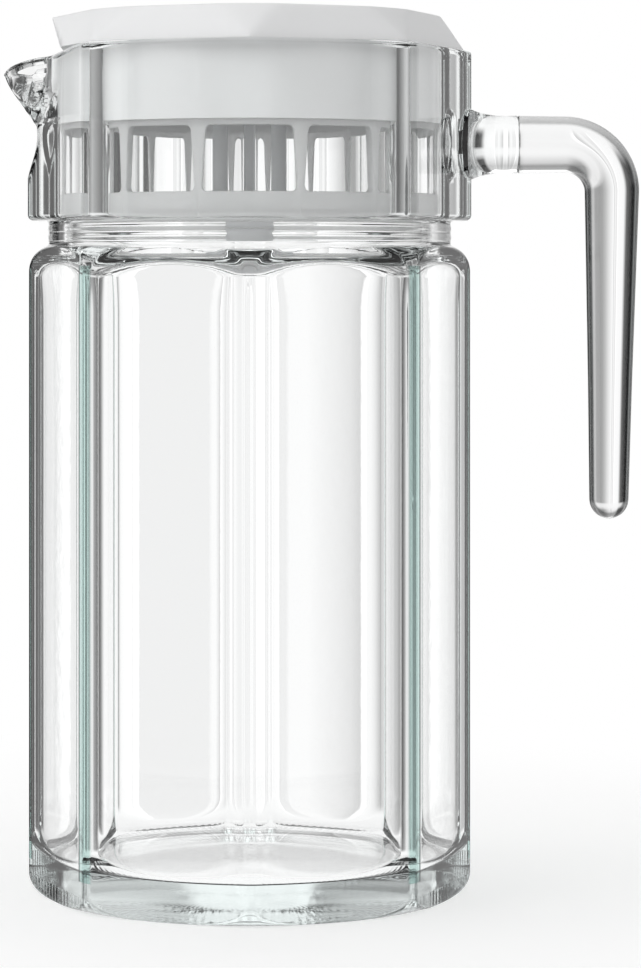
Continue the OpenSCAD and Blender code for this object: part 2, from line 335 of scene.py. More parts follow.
plasticFinish = {"waveScale": 60.0, "grainScale": 1400.0, "waveShare": 0.55, "tone": (0.965, 1.02), "bump": 0.12,
                 "bumpDepth": 0.00012, "softDepth": 0.003}
plasticLooks = {
    "lidWhite": {"color": (0.85, 0.855, 0.86, 1), "rough": (0.30, 0.42), "soft": 0.06, "clear": 0.0},
    "sleeveWhite": {"color": (0.97, 0.975, 0.98, 1), "rough": (0.28, 0.40), "soft": 0.1, "clear": 0.0},
    "milkyPlastic": {"color": (0.98, 0.983, 0.985, 1), "rough": (0.32, 0.45), "soft": 0.15, "clear": 0.4},
    "pinGrey": {"color": (0.72, 0.73, 0.74, 1), "rough": (0.32, 0.5), "soft": 0.0, "clear": 0.0},
}


def plasticMaterial(name):
    look = plasticLooks[name]
    material, tree = emptyMaterial(name)
    body = place(tree, "ShaderNodeBsdfPrincipled")
    uneven = surfaceNode(tree, plasticFinish)
    shade = place(tree, "ShaderNodeMix", -250, 400, data_type="RGBA", blend_type="MULTIPLY")
    shade.inputs["Factor"].default_value = 1.0
    shade.inputs[6].default_value = look["color"]
    link(tree, rangeNode(tree, uneven.outputs["Height"], target=plasticFinish["tone"]), shade.inputs[7])
    link(tree, shade.outputs[2], body.inputs["Base Color"])
    link(tree, rangeNode(tree, uneven.outputs["Mask"], target=look["rough"]), body.inputs["Roughness"])
    body.inputs["Subsurface Weight"].default_value = look["soft"]
    body.inputs["Subsurface Radius"].default_value = (1, 1, 1)
    body.inputs["Subsurface Scale"].default_value = plasticFinish["softDepth"]
    body.inputs["Transmission Weight"].default_value = look["clear"]
    link(tree, bumpNode(tree, uneven.outputs["Height"], plasticFinish), body.inputs["Normal"])
    out = place(tree, "ShaderNodeOutputMaterial", 400)
    link(tree, body.outputs[0], out.inputs["Surface"])
    return material


materials = {name: glassMaterial(name) for name in paintedEdgeLooks}
materials.update({name: plasticMaterial(name) for name in plasticLooks})
print("materials ready")


def dress(piece, material, body, slot, *nodes):
    piece.data.materials.clear()
    piece.data.materials.append(materials[material])
    for polygon in piece.data.polygons:
        polygon.material_index = 0
    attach(piece, body)
    if nodes:
        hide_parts(*nodes)


# the glass jug: one closed skin of rings, with flats that end in arches

corners, cornerTurn, spoutCorner = 8, 45, 4

jug = {"cornerR": 56.0, "flatR": 52.29, "cornerSoft": 0.12, "heelR": 4.5, "footR": 49.0, "footRise": 1.6,
       "footRings": (6, 14, 22, 30, 37, 42, 45), "footEndR": 47.0, "footEdge": ((46.4, 0.25), (47.6, 0.05)),
       "footOutR": 50.4, "shoulderZ": 156.5, "shoulderR": 7.0, "collarZ": 169.5, "rimZ": 212.5,
       "collarR": 56.3, "collarFlatR": 52.56, "lowEdgeR": 1.5, "neckOutR": 51.7, "rimOutR": 0.9, "rimInR": 1.4,
       "plainZ": 188.0, "boreR": 46.5, "boreZ": 161.2, "boreEdge": (1.5, 1.75), "innerR": 51.07,
       "innerFlatR": 48.29, "innerSoft": 0.5, "innerShoulderZ": 154.93, "innerShoulderR": 4.57,
       "innerShoulderSoft": 0.3, "floorZ": 9.0, "floorR": 7.0, "floorDome": 0.5,
       "floorRings": (42, 36, 28, 20, 12, 5),
       # degrees at which the arcs of the shoulder and of the bore's lower edge end
       "shoulderEnd": 71, "innerShoulderEnd": 66, "boreEdgeEnd": 80,
       # the neck's two beads, as radius and height
       "neck": ((51.1, 163.35), (51.0, 163.7), (51.0, 164.3), (51.1, 164.8), (51.14, 165.2), (51.1, 165.6),
                (51.0, 166.1), (51.0, 166.6), (51.1, 167.1), (51.14, 167.5), (51.1, 167.9), (51.0, 168.3),
                (51.02, 168.7), (51.1, 169.0), (51.3, 169.3), (51.6, 169.46))}
spout = {"edgeX": 56.9, "startX": 54.0, "reach": 8.4, "halfW": 14.0, "tipSoft": 2.4, "innerReach": 13.6,
         "innerLow": 196.0, "innerHigh": 207.5, "innerHalfW": 11.2, "edgeSoft": 1.4, "innerSoft": 1.6, "bend": 190.0,
         "wide": 60, "bankFall": 0.8, "lowZ": 174, "tipLowZ": 192, "faceX": 56.2, "faceGain": 4, "faceSoft": 0.3,
         "pull": 0.62, "pullWide": 30, "cornerSlope": 0.4142, "leastTip": 0.05, "leastInner": 0.02,
         # how far the corner stands out at each height, before the rim's slope is put on
         "outline": ((176.0, 57.6), (178.6, 57.0), (181.2, 56.2), (183.7, 55.3), (186.2, 54.3), (188.8, 53.7),
                     (191.7, 53.5), (195.1, 54.0), (198.4, 55.6), (201.8, 58.1), (205.1, 60.3), (208.4, 61.9),
                     (212.5, 63.1)),
         # shares of the outline just below and above a height, which round it off
         "blend": ((-2.4, 0.1), (-1.2, 0.22), (0, 0.36), (1.2, 0.22), (2.4, 0.1))}
# how many rings each stretch of the skin has
ringCounts = {"heel": 20, "wall": 36, "shoulder": 26, "collarEdge": 9, "collarLow": 12, "collarHigh": 48,
              "rimOut": 7, "rimIn": 8, "collarInside": 44, "bore": 10, "boreEdge": 6, "innerShoulder": 18,
              "innerWall": 36, "floorEdge": 24}
# the rim drops towards the spout, sharply near it and gently all the way
rimDrop = {"sharp": 3.9, "sharpWide": 4.5, "gentle": 2.3, "from": 8, "to": 48, "round": 1}
farOut = 99.0

# degrees from a corner at which the skin has points
cornerSteps = [0, .25, .5, .8, 1.1, 1.4, 1.7, 2.1, 2.7, 3.6, 5, 7, 9.5, 12.5, 16, 19.2, 22.5]
spoutSteps = [0, .25, .5, .8, 1.1, 1.4, 1.7, 2.1, 2.7, 3.5, 4.5, 5.6, 6.8, 8.1, 9.5, 11, 12.6, 14.3, 16.2,
              18.2, 20.3, 22.5]


def ringAngles():
    degrees = []
    for corner in range(corners):
        steps = spoutSteps if corner == spoutCorner else cornerSteps
        offsets = [-s for s in reversed(steps[1:-1])] + steps
        degrees += [corner * cornerTurn + o for o in offsets]
    return np.radians(np.array(sorted(d % 360 for d in degrees)))


jugTheta = ringAngles()
fromFlat = (np.degrees(jugTheta) % cornerTurn) - cornerTurn / 2
flatShare = 1 / np.cos(np.radians(fromFlat))
fromSpout = np.degrees(jugTheta) % 360 - spoutCorner * cornerTurn
nearSpout = np.abs(fromSpout) < spout["wide"]


def octagonR(turnedR, flatR, soft):
    return softMin(np.full(len(jugTheta), float(turnedR)), flatR * flatShare, soft)


def spoutTip(tipX, startX, halfW):
    slope = halfW / max(tipX - startX, 0.01)
    side = np.radians(np.sqrt(fromSpout ** 2 + spout["tipSoft"] ** 2))
    blunt = math.radians(spout["tipSoft"])
    reach = tipX * (math.sin(blunt) + slope * math.cos(blunt)) / (np.sin(side) + slope * np.cos(side))
    past = np.maximum(0, np.abs(fromSpout) - math.degrees(math.atan2(halfW, startX)))
    bank = math.hypot(startX, halfW) - spout["bankFall"] * past
    return np.where(nearSpout, np.where(past > 0, np.minimum(reach, bank), reach), 0)


def cornerReach(z):
    heights, reaches = zip(*spout["outline"])
    return sum(share * float(np.interp(z + step, heights, reaches)) for step, share in spout["blend"])


def collarOuter(z):
    wall = octagonR(jug["collarR"], jug["collarFlatR"], jug["cornerSoft"])
    if z < spout["lowZ"]:
        return wall
    tipX = cornerReach(z)
    cut = tipX + spout["faceGain"] * max(0.0, tipX - spout["faceX"])
    side = np.radians(np.clip(fromSpout, -spout["wide"], spout["wide"]))
    wall = softMin(wall, np.where(nearSpout, cut / np.cos(side), farOut), spout["faceSoft"])
    if z < spout["tipLowZ"] or tipX < spout["startX"] + spout["leastTip"]:
        return wall
    halfW = spout["halfW"] * ((tipX - spout["startX"]) / spout["reach"]) ** 0.5
    tip = spoutTip(tipX, spout["edgeX"] - spout["cornerSlope"] * halfW, halfW)
    pull = spout["pull"] * np.exp(-(fromSpout / spout["pullWide"]) ** 2)
    return np.where(nearSpout, softMax(wall, tip, spout["edgeSoft"]) - pull, wall)


def collarInner(z):
    bore = np.full(len(jugTheta), jug["boreR"])
    out = spout["innerReach"] * float(smoothStep(spout["innerLow"], spout["innerHigh"], z))
    if out < spout["leastInner"]:
        return bore
    halfW = spout["innerHalfW"] * (out / spout["innerReach"]) ** 0.5
    tip = spoutTip(jug["boreR"] + out, math.sqrt(jug["boreR"] ** 2 - halfW ** 2), halfW)
    return np.where(nearSpout, softMax(bore, tip, spout["innerSoft"]), bore)


spread = np.sqrt(fromSpout ** 2 + rimDrop["round"])
rimHeight = jug["rimZ"] - (rimDrop["sharp"] * np.exp(-spread / rimDrop["sharpWide"])
                           + rimDrop["gentle"] * (1 - smoothStep(rimDrop["from"], rimDrop["to"], spread)))


def warped(z):
    share = max(0.0, (z - spout["bend"]) / (jug["rimZ"] - spout["bend"]))
    return z + share * (rimHeight - jug["rimZ"])


def arc(steps, low=0.0, high=90.0):
    return [math.radians(low + (high - low) * i / (steps - 1)) for i in range(steps)]


def footAndWallRows():
    soft, flat = jug["cornerSoft"], jug["flatR"]
    rows = [(radius, jug["footRise"] * (1 - (radius / jug["footEndR"]) ** 4)) for radius in jug["footRings"]]
    rows += [*jug["footEdge"], (jug["footR"], 0.0), (jug["footOutR"], 0.0)]
    for a in arc(ringCounts["heel"]):
        turned = jug["cornerR"] - jug["heelR"] + jug["heelR"] * math.sin(a)
        rows.append((octagonR(turned, flat, soft), jug["heelR"] * (1 - math.cos(a))))
    for z in np.linspace(jug["heelR"], jug["shoulderZ"], ringCounts["wall"])[1:-1]:
        rows.append((octagonR(jug["cornerR"], flat, soft), z))
    for a in arc(ringCounts["shoulder"], 0, jug["shoulderEnd"]):
        turned = jug["cornerR"] - jug["shoulderR"] + jug["shoulderR"] * math.cos(a)
        rows.append((octagonR(turned, flat, soft), jug["shoulderZ"] + jug["shoulderR"] * math.sin(a)))
    return rows


def collarRows():
    wall, edge = collarOuter(jug["collarZ"]), jug["lowEdgeR"]
    reach = np.minimum(edge, wall - jug["neckOutR"])
    rows = [(wall - reach * (1 - math.sin(a)), jug["collarZ"] + edge * (1 - math.cos(a)))
            for a in arc(ringCounts["collarEdge"])]
    for z in np.linspace(jug["collarZ"] + edge, jug["plainZ"], ringCounts["collarLow"])[1:]:
        rows.append((collarOuter(z), z))
    top = jug["rimZ"] - jug["rimOutR"]
    for z in np.linspace(jug["plainZ"], top, ringCounts["collarHigh"])[1:-1]:
        rows.append((collarOuter(z), warped(z)))
    wall, bore = collarOuter(jug["rimZ"]), collarInner(jug["rimZ"])
    for a in arc(ringCounts["rimOut"]):
        rows.append((wall - jug["rimOutR"] * (1 - math.cos(a)), warped(top + jug["rimOutR"] * math.sin(a))))
    for a in arc(ringCounts["rimIn"], 90, 0):
        rows.append((bore + jug["rimInR"] * (1 - math.cos(a)),
                     warped(jug["rimZ"] - jug["rimInR"] * (1 - math.sin(a)))))
    for z in np.linspace(jug["rimZ"] - jug["rimInR"], jug["plainZ"], ringCounts["collarInside"])[1:]:
        rows.append((collarInner(z), warped(z)))
    return rows


def insideRows():
    flat, (edgeWide, edgeDeep) = jug["innerFlatR"], jug["boreEdge"]
    rows = [(jug["boreR"], z) for z in np.linspace(jug["plainZ"], jug["boreZ"], ringCounts["bore"])[1:]]
    for a in arc(ringCounts["boreEdge"], 0, jug["boreEdgeEnd"])[1:]:
        rows.append((jug["boreR"] + edgeWide * (1 - math.cos(a)), jug["boreZ"] - edgeDeep * math.sin(a)))
    for a in arc(ringCounts["innerShoulder"], jug["innerShoulderEnd"], 0):
        turned = jug["innerR"] - jug["innerShoulderR"] + jug["innerShoulderR"] * math.cos(a)
        rows.append((octagonR(turned, flat, jug["innerShoulderSoft"]),
                     jug["innerShoulderZ"] + jug["innerShoulderR"] * math.sin(a)))
    low = jug["floorZ"] + jug["floorR"]
    for z in np.linspace(jug["innerShoulderZ"], low, ringCounts["innerWall"])[1:-1]:
        rows.append((octagonR(jug["innerR"], flat, jug["innerSoft"]), z))
    centreR = jug["innerR"] - jug["floorR"]
    for a in arc(ringCounts["floorEdge"]):
        rows.append((octagonR(centreR + jug["floorR"] * math.cos(a), flat, jug["innerSoft"]),
                     jug["floorZ"] + jug["floorR"] * (1 - math.sin(a))))
    for radius in jug["floorRings"]:
        rows.append((radius, jug["floorZ"] + jug["floorDome"] * (1 - (radius / centreR) ** 2)))
    return rows


stub = {"z": 188.9, "sides": 72,
        "radii": ((49.5, 13.0), (51, 12.0), (52.5, 11.0), (54, 10.1), (55.5, 9.3), (57, 8.65), (58.5, 8.1),
                  (60, 7.72), (61.5, 7.48), (63, 7.34), (65, 7.3), (67.6, 7.3), (67.9, 7.22), (68.0, 7.05))}


# a round bar along X, wider where it enters the collar
def stubRoot():
    count, rows = stub["sides"], len(stub["radii"])
    points = []
    for x, radius in stub["radii"]:
        for j in range(count):
            a = 2 * math.pi * j / count
            points.append((x * mm, radius * math.cos(a) * mm, (stub["z"] + radius * math.sin(a)) * mm))
    points += [(stub["radii"][end][0] * mm, 0, stub["z"] * mm) for end in (0, -1)]
    return newObject("stubRoot", points, ringFaces(rows, count) + poleFaces(rows, count))


def buildJug():
    piece = turnedPiece("glassJug", jugTheta, [*footAndWallRows(), *jug["neck"], *collarRows(), *insideRows()])
    root = stubRoot()
    join = piece.modifiers.new("join", "BOOLEAN")
    join.operation = "UNION"
    join.solver = "MANIFOLD"
    join.object = root
    bpy.context.view_layer.update()
    piece = applyModifiers(piece)
    bpy.data.objects.remove(root)
    shadeSmooth(piece)
    return piece


glassJug = buildJug()
dress(glassJug, "clearGlass", "jug", "clear_glass", "glass_jug")
print("jug", len(glassJug.data.polygons), "faces")


# the handle: a tapered rod swept along its bent path

rod = {"startX": 68.04, "armZ": 188.9, "bendX": 80.0, "bendR": 12.0, "gripX": 92.0, "lean": 0.75,
       "endZ": 93.95, "tipR": 4.95, "armR": 7.3, "armEndR": 7.15, "bendRodR": 6.9, "sides": 96,
       # the grip's radius by height, and the rounded start as distance and what comes off the radius
       "gripR": ((98, 4.95), (129, 5.6), (177, 6.9)), "startEdge": ((0, 0.25), (0.12, 0.07)), "straightX": 0.4,
       "armLength": 12, "tipEnd": 89.2,
       # how many points each stretch of the path has
       "armPoints": 14, "bendPoints": 36, "gripPoints": 40, "tipPoints": 14}


def rodPath():
    path = [(rod["startX"] + step, rod["armZ"], rod["armR"] - less) for step, less in rod["startEdge"]]
    thinner = rod["armR"] - rod["armEndR"]
    for x in np.linspace(rod["startX"] + rod["straightX"], rod["bendX"], rod["armPoints"]):
        path.append((x, rod["armZ"], rod["armR"] - thinner * (x - stub["radii"][-1][0]) / rod["armLength"]))
    centreZ = rod["armZ"] - rod["bendR"]
    for a in np.radians(np.linspace(0, 90, rod["bendPoints"]))[1:]:
        share = a / math.radians(90)
        path.append((rod["bendX"] + rod["bendR"] * math.sin(a), centreZ + rod["bendR"] * math.cos(a),
                     rod["armEndR"] + (rod["bendRodR"] - rod["armEndR"]) * share))
    low = rod["endZ"] + rod["tipR"]
    heights, radii = zip(*rod["gripR"])
    for t in np.linspace(0, 1, rod["gripPoints"])[1:]:
        z = centreZ - (centreZ - low) * t
        path.append((rod["gripX"] - rod["lean"] * t, z, float(np.interp(z, heights, radii))))
    for a in arc(rod["tipPoints"])[1:]:
        a = min(a, math.radians(rod["tipEnd"]))
        path.append((rod["gripX"] - rod["lean"], low - rod["tipR"] * math.sin(a), rod["tipR"] * math.cos(a)))
    return path


# a node tree that takes a count and a material
def countedTree(name, countName):
    tree = bpy.data.node_groups.new(name, "GeometryNodeTree")
    face = tree.interface
    face.new_socket("Geometry", in_out="INPUT", socket_type="NodeSocketGeometry")
    count = face.new_socket(countName, in_out="INPUT", socket_type="NodeSocketInt")
    finish = face.new_socket("Material", in_out="INPUT", socket_type="NodeSocketMaterial")
    face.new_socket("Geometry", in_out="OUTPUT", socket_type="NodeSocketGeometry")
    start, end = place(tree, "NodeGroupInput", -900), place(tree, "NodeGroupOutput", 900)
    return tree, start, end, (count.identifier, finish.identifier)


def runTree(piece, tree, sockets, count, material):
    run = piece.modifiers.new(tree.name, "NODES")
    run.node_group = tree
    for socket, value in zip(sockets, (count, materials[material])):
        run[socket] = value
    return applyModifiers(piece)


def sweepTree():
    tree, start, end, sockets = countedTree("sweptRod", "Sides")
    profile = place(tree, "GeometryNodeCurvePrimitiveCircle", -300, -200)
    profile.inputs["Radius"].default_value = 1.0
    link(tree, start.outputs["Sides"], profile.inputs["Resolution"])
    radius = place(tree, "GeometryNodeInputRadius", -300, 200)
    sweep = place(tree, "GeometryNodeCurveToMesh")
    sweep.inputs["Fill Caps"].default_value = True
    link(tree, start.outputs["Geometry"], sweep.inputs["Curve"])
    link(tree, profile.outputs["Curve"], sweep.inputs["Profile Curve"])
    link(tree, radius.outputs[0], sweep.inputs["Scale"])
    smooth = place(tree, "GeometryNodeSetShadeSmooth", 250)
    real = place(tree, "GeometryNodeRealizeInstances", 450)
    paint = place(tree, "GeometryNodeSetMaterial", 650)
    link(tree, sweep.outputs[0], smooth.inputs["Geometry"])
    link(tree, smooth.outputs[0], real.inputs[0])
    link(tree, real.outputs[0], paint.inputs["Geometry"])
    link(tree, start.outputs["Material"], paint.inputs["Material"])
    link(tree, paint.outputs[0], end.inputs[0])
    return tree, sockets


def buildRod():
    curve = bpy.data.curves.new("handleRod", "CURVE")
    curve.dimensions = "3D"
    path = rodPath()
    line = curve.splines.new("POLY")
    line.points.add(len(path) - 1)
    for point, (x, z, radius) in zip(line.points, path):
        point.co = (x * mm, 0, z * mm, 1)
        point.radius = radius * mm
    piece = bpy.data.objects.new("handleRod", curve)
    bpy.context.scene.collection.objects.link(piece)
    piece = runTree(piece, *sweepTree(), rod["sides"], "rodGlass")
    work = bmesh.new()
    work.from_mesh(piece.data)
    bmesh.ops.recalc_face_normals(work, faces=work.faces)
    work.to_mesh(piece.data)
    work.free()
    shadeSmooth(piece)
    return piece


handleRod = buildRod()
dress(handleRod, "rodGlass", "jug", "clear_glass", "handle")
print("handle", len(handleRod.data.polygons), "faces")


# the cap: leaning flats, corners cut by a cone, a blunt end over the spout, a pocket and a boss

cap = {"lowZ": 212.5, "topZ": 221.1, "flatLow": 50.5, "flatTop": 47.0, "coneLow": 54.7, "coneTop": 48.4,
       "beakLow": 47.2, "beakTop": 50.2, "beakWide": 50, "pocketR": 46.4, "ceilingZ": 219.2, "edge": 0.45,
       "edgeLow": 0.27, "bossR": 5.5, "bossZ": 199.2, "holeR": 3.05, "centreR": 0.4, "soft": 0.12,
       "topShares": (0.92, 0.8, 0.6, 0.35, 0.1), "holeEdge": 0.3, "bossEdge": 0.5, "bossFillet": (0.35, 1.2),
       "pocketEdge": 0.4, "pocketLip": (0.15, 0.3), "pocketMidZ": 216, "ceilingRings": (20, 34), "lowRings": 5,
       "wallRings": 8, "topRings": 6, "sharp": 40,
       "steps": (-16, -11, -8, -6, -4.6, -3.4, -2.4, -1.6, -1, -.5, 0, .5, 1, 1.6, 2.4, 3.4, 4.6, 6, 8, 11, 16, 22.5)}

capTheta = np.radians(np.array(sorted((corner * cornerTurn + step) % 360 for corner in range(corners)
                               for step in cap["steps"])))
capFlat = 1 / np.cos(np.radians((np.degrees(capTheta) % cornerTurn) - cornerTurn / 2))
capFromSpout = (np.degrees(capTheta) % 360) - spoutCorner * cornerTurn


def capOuter(z):
    share = (z - cap["lowZ"]) / (cap["topZ"] - cap["lowZ"])
    flatR, coneR, beakX = (cap[name + "Low"] + share * (cap[name + "Top"] - cap[name + "Low"])
                           for name in ("flat", "cone", "beak"))
    cone = np.where(np.abs(capFromSpout) < cornerTurn / 2, farOut, coneR)
    wall = softMin(flatR * capFlat, cone, cap["soft"])
    side = np.radians(np.clip(capFromSpout, -cap["beakWide"], cap["beakWide"]))
    blunt = np.where(np.abs(capFromSpout) < cap["beakWide"], beakX / np.cos(side), farOut)
    return softMin(wall, blunt, cap["soft"])


def buildCap():
    low, top, edge, edgeLow = cap["lowZ"], cap["topZ"], cap["edge"], cap["edgeLow"]
    ceiling, hole, boss, bossZ = cap["ceilingZ"], cap["holeR"], cap["bossR"], cap["bossZ"]
    pocket, centre, pocketEdge = cap["pocketR"], cap["centreR"], cap["pocketEdge"]
    holeEdge, bossEdge, (near, far), (lipOut, lipUp) = (cap[name] for name in (
        "holeEdge", "bossEdge", "bossFillet", "pocketLip"))
    rows = [(centre, ceiling), (hole, ceiling), (hole, bossZ + holeEdge), (hole + holeEdge, bossZ),
            (boss - bossEdge, bossZ), (boss, bossZ + bossEdge), (boss, ceiling - far), (boss + near, ceiling - near),
            (boss + far, ceiling), *((radius, ceiling) for radius in cap["ceilingRings"]),
            (pocket - pocketEdge, ceiling), (pocket, ceiling - pocketEdge), (pocket, cap["pocketMidZ"]),
            (pocket, low + lipUp), (pocket + lipOut, low)]
    for a in arc(cap["lowRings"]):
        z = low + edgeLow * (1 - math.cos(a))
        rows.append((capOuter(z) - edgeLow * (1 - math.sin(a)), z))
    for z in np.linspace(low + edgeLow, top - edge, cap["wallRings"])[1:]:
        rows.append((capOuter(z), z))
    for a in arc(cap["topRings"])[1:]:
        z = top - edge + edge * math.sin(a)
        rows.append((capOuter(z) - edge * (1 - math.cos(a)), z))
    rows += [(capOuter(top) * share, top) for share in cap["topShares"]]
    return turnedPiece("lidCap", capTheta, [*rows, (centre, top)])


lidCap = buildCap()
sharpenEdges(lidCap, cap["sharp"])
dress(lidCap, "lidWhite", "cap", "white_plastic", "lid_cap")
print("cap", len(lidCap.data.polygons), "faces")


# the strainer: one window segment repeated round the axis, a floor and the pin's socket

strainer = {"outR": 43.8, "wall": 1.8, "lowZ": 170.0, "topZ": 197.9, "floorT": 2.0, "windows": 12, "winLow": 176.0,
            "winHigh": 192.0, "footHalf": 10.44, "topHalf": 9.34, "corner": 1.5, "edge": 0.3, "socketR": 6.0,
            "socketZ": 177.0, "holeR": 3.0, "turnStep": 3.75, "edgeMid": 0.1, "holeEdge": 0.2, "sharp": 50,
            # the floor runs into the wall, with a ring halfway and one near the wall
            "floorInto": 0.5, "floorMidR": 20, "floorNear": 2,
            # out from the socket and up from the floor, and in from the socket and down from its top
            "socketFoot": ((1, 0), (0.35, 0.1), (0.1, 0.35), (0, 1)), "socketTop": ((0, 0.4), (0.12, 0.12), (0.4, 0))}

segmentSteps = [-1, -.96, -.92, -.88, -.84, -.8, -.6, -.3, 0, .3, .6, .8, .84, .88, .92, .96]


# points round a square, and where they land on the window's rounded outline
def windowPoint(across, up, grow):
    midZ = (strainer["winLow"] + strainer["winHigh"]) / 2
    halfW, halfH = strainer["footHalf"] + grow, (strainer["winHigh"] - strainer["winLow"]) / 2 + grow
    corner = strainer["corner"] + grow
    x, z = across * halfW, up * halfH
    nearX = min(max(x, corner - halfW), halfW - corner)
    nearZ = min(max(z, corner - halfH), halfH - corner)
    away = math.hypot(x - nearX, z - nearZ)
    x, z = nearX + (x - nearX) * corner / away, nearZ + (z - nearZ) * corner / away
    lean = (strainer["topHalf"] - strainer["footHalf"]) * (z + halfH) / (2 * halfH)
    return math.asin((x * (1 + lean / halfW)) / strainer["outR"]), midZ + z


def segmentMesh():
    square = [(step, -1) for step in segmentSteps] + [(1, step) for step in segmentSteps]
    square += [(-step, 1) for step in segmentSteps] + [(-1, -step) for step in segmentSteps]
    half = math.pi / strainer["windows"]
    edge, edgeMid, outR = strainer["edge"], strainer["edgeMid"], strainer["outR"]
    inR = outR - strainer["wall"]

    def outline(radius, inset):
        low, high = strainer["lowZ"] + inset, strainer["topZ"] - inset
        return [(across * half, low + (up + 1) / 2 * (high - low), radius) for across, up in square]

    rings = [outline(outR - edge, 0.0), outline(outR, edge)]
    for radius, grow in ((outR, edge), (outR - edgeMid, edgeMid), (outR - edge, 0.0), (inR + edge, 0.0),
                         (inR + edgeMid, edgeMid), (inR, edge)):
        rings.append([(*windowPoint(across, up, grow), radius) for across, up in square])
    rings.append(outline(inR, 0.0))
    count = len(square)
    points = [(radius * math.cos(angle) * mm, radius * math.sin(angle) * mm, z * mm)
              for ring in rings for angle, z, radius in ring]
    faces = ringFaces(len(rings), count)
    # the upper and lower edges are closed, the sides meet the next segment
    last = (len(rings) - 1) * count
    for j in range(count):
        k = (j + 1) % count
        if square[j][1] == square[k][1] and abs(square[j][1]) == 1:
            faces.append((last + j, last + k, k, j))
    return newObject("strainerBasket", points, faces)


def repeatTree():
    tree, start, end, sockets = countedTree("windowsRound", "Windows")
    spots = place(tree, "GeometryNodeMeshLine", -600, 200)
    spots.inputs["Offset"].default_value = (0, 0, 0)
    link(tree, start.outputs["Windows"], spots.inputs["Count"])
    index = place(tree, "GeometryNodeInputIndex", -900, -300)
    turn = mathNode(tree, "DIVIDE", mathNode(tree, "MULTIPLY", index.outputs[0], 2 * math.pi),
                    start.outputs["Windows"])
    angles = place(tree, "ShaderNodeCombineXYZ", -500, -300)
    link(tree, turn, angles.inputs["Z"])
    turned = place(tree, "FunctionNodeEulerToRotation", -300, -300)
    link(tree, angles.outputs[0], turned.inputs[0])
    copies = place(tree, "GeometryNodeInstanceOnPoints", -100)
    link(tree, spots.outputs[0], copies.inputs["Points"])
    link(tree, start.outputs["Geometry"], copies.inputs["Instance"])
    link(tree, turned.outputs[0], copies.inputs["Rotation"])
    real = place(tree, "GeometryNodeRealizeInstances", 100)
    weld = place(tree, "GeometryNodeMergeByDistance", 300)
    weld.inputs["Distance"].default_value = 0.01 * mm
    paint = place(tree, "GeometryNodeSetMaterial", 600)
    link(tree, copies.outputs[0], real.inputs[0])
    link(tree, real.outputs[0], weld.inputs[0])
    link(tree, weld.outputs[0], paint.inputs["Geometry"])
    link(tree, start.outputs["Material"], paint.inputs["Material"])
    link(tree, paint.outputs[0], end.inputs[0])
    return tree, sockets


def buildStrainer():
    basket = runTree(segmentMesh(), *repeatTree(), strainer["windows"], "milkyPlastic")
    low, floorZ, top = strainer["lowZ"], strainer["lowZ"] + strainer["floorT"], strainer["socketZ"]
    inR, socketR, holeR = strainer["outR"] - strainer["wall"], strainer["socketR"], strainer["holeR"]
    holeEdge, midR = strainer["holeEdge"], strainer["floorMidR"]
    nearR, endR = inR - strainer["floorNear"], inR + strainer["floorInto"]
    rows = [(holeR, low + holeEdge), (holeR + holeEdge, low), (midR, low), (nearR, low), (endR, low),
            (endR, floorZ), (nearR, floorZ), (midR, floorZ)]
    rows += [(socketR + out, floorZ + up) for out, up in strainer["socketFoot"]]
    rows += [(socketR - inward, top - down) for inward, down in strainer["socketTop"]]
    rows += [(holeR + holeEdge, top), (holeR, top - holeEdge)]
    theta = np.radians(np.arange(0, 360, strainer["turnStep"]))
    plate = turnedPiece("strainerFloor", theta, rows, closed=True)
    work = bmesh.new()
    work.from_mesh(basket.data)
    work.from_mesh(plate.data)
    work.to_mesh(basket.data)
    work.free()
    bpy.data.objects.remove(plate)
    shadeSmooth(basket)
    sharpenEdges(basket, strainer["sharp"])
    return basket


strainerBasket = buildStrainer()
dress(strainerBasket, "milkyPlastic", "basket", "frosted_plastic", "strainer")
print("strainer", len(strainerBasket.data.polygons), "faces")


# camera, light and floor

view = {"location": (0, -0.8885, 0.1555), "lens": 130.09, "sensor": 36, "shiftX": 0.0733, "shiftY": -0.2149,
        "far": 50}


def addCamera():
    data = bpy.data.cameras.new("camera")
    data.sensor_fit = "AUTO"
    data.sensor_width = view["sensor"]
    data.lens = view["lens"]
    data.shift_x = view["shiftX"]
    data.shift_y = view["shiftY"]
    data.clip_end = view["far"]
    camera = bpy.data.objects.new("camera", data)
    camera.location = view["location"]
    camera.rotation_euler = (math.radians(90), 0, 0)
    bpy.context.scene.collection.objects.link(camera)
    bpy.context.scene.camera = camera


addCamera()

